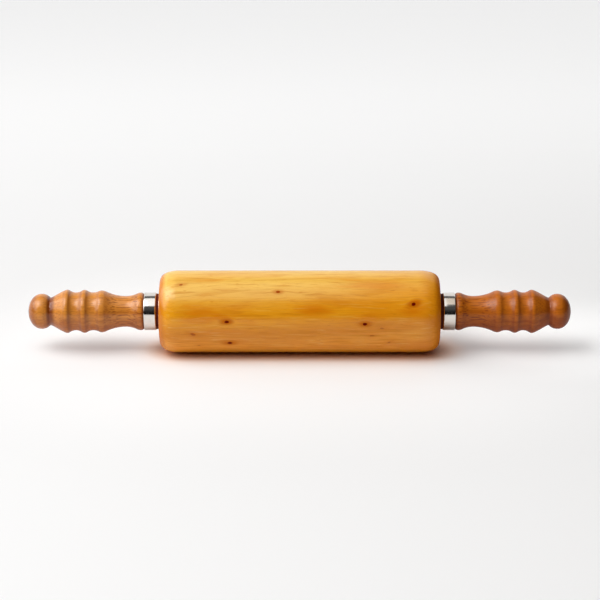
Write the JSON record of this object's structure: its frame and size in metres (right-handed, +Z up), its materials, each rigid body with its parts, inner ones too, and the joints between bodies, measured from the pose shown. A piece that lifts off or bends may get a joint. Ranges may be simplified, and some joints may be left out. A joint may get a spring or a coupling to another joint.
{
  "type": "rolling pin",
  "caption": "Wooden roller on ball bearings round a steel axle, with a turned handle and bright ferrule at each end, for rolling dough.",
  "frame": {"origin": "the middle of the axle, which is the middle of the whole pin; the surface it rests on is 33.25 mm below", "axes": "+X along the axle towards the right-hand handle in the picture, +Z up, +Y away from the camera"},
  "size_m": [0.44, 0.0666, 0.0664],
  "materials": {
    "barrel_wood": "pale yellow-amber knotty wood under clear satin-gloss lacquer",
    "handle_wood": "darker reddish-brown turned hardwood with fine pores, satin lacquer",
    "ferrule_chrome": "polished plating",
    "washer_fibre": "dark brown smooth washer",
    "axle_steel": "turned, zinc plated",
    "bearing_steel": "ground and polished",
    "shield_steel": "pressed sheet",
    "cage_nylon": "moulded nylon",
    "insert_brass": "turned"
  },
  "bodies": {
    "handles_and_axle": {"axle_rod": "axle_steel", "left_bearing_inner_ring": "bearing_steel", "left_spacer_sleeve": "axle_steel", "left_thrust_washer": "washer_fibre", "left_ferrule": "ferrule_chrome", "left_handle": "handle_wood", "left_threaded_insert": "insert_brass", "right_bearing_inner_ring": "bearing_steel", "right_spacer_sleeve": "axle_steel", "right_thrust_washer": "washer_fibre", "right_ferrule": "ferrule_chrome", "right_handle": "handle_wood", "right_threaded_insert": "insert_brass"},
    "barrel": {"barrel": "barrel_wood", "left_bearing_outer_ring": "bearing_steel", "left_bearing_inboard_shield": "shield_steel", "left_bearing_outboard_shield": "shield_steel", "right_bearing_outer_ring": "bearing_steel", "right_bearing_inboard_shield": "shield_steel", "right_bearing_outboard_shield": "shield_steel"},
    "left_ball_cage": {"left_bearing_cage": "cage_nylon", "left_bearing_balls": "bearing_steel"},
    "right_ball_cage": {"right_bearing_cage": "cage_nylon", "right_bearing_balls": "bearing_steel"}
  },
  "joints": [
    {"name": "barrel_spin", "type": "hinge", "parent": "handles_and_axle", "child": "barrel", "pos_m": [0, 0, 0], "axis": [1, 0, 0], "continuous": true},
    {"name": "left_cage_spin", "type": "hinge", "parent": "handles_and_axle", "child": "left_ball_cage", "pos_m": [0, 0, 0], "axis": [1, 0, 0], "continuous": true},
    {"name": "right_cage_spin", "type": "hinge", "parent": "handles_and_axle", "child": "right_ball_cage", "pos_m": [0, 0, 0], "axis": [1, 0, 0], "continuous": true}
  ],
  "couplings": [
    {"joint": "left_cage_spin", "follows": "barrel_spin", "ratio": 0.6323},
    {"joint": "right_cage_spin", "follows": "barrel_spin", "ratio": 0.6323}
  ]
}
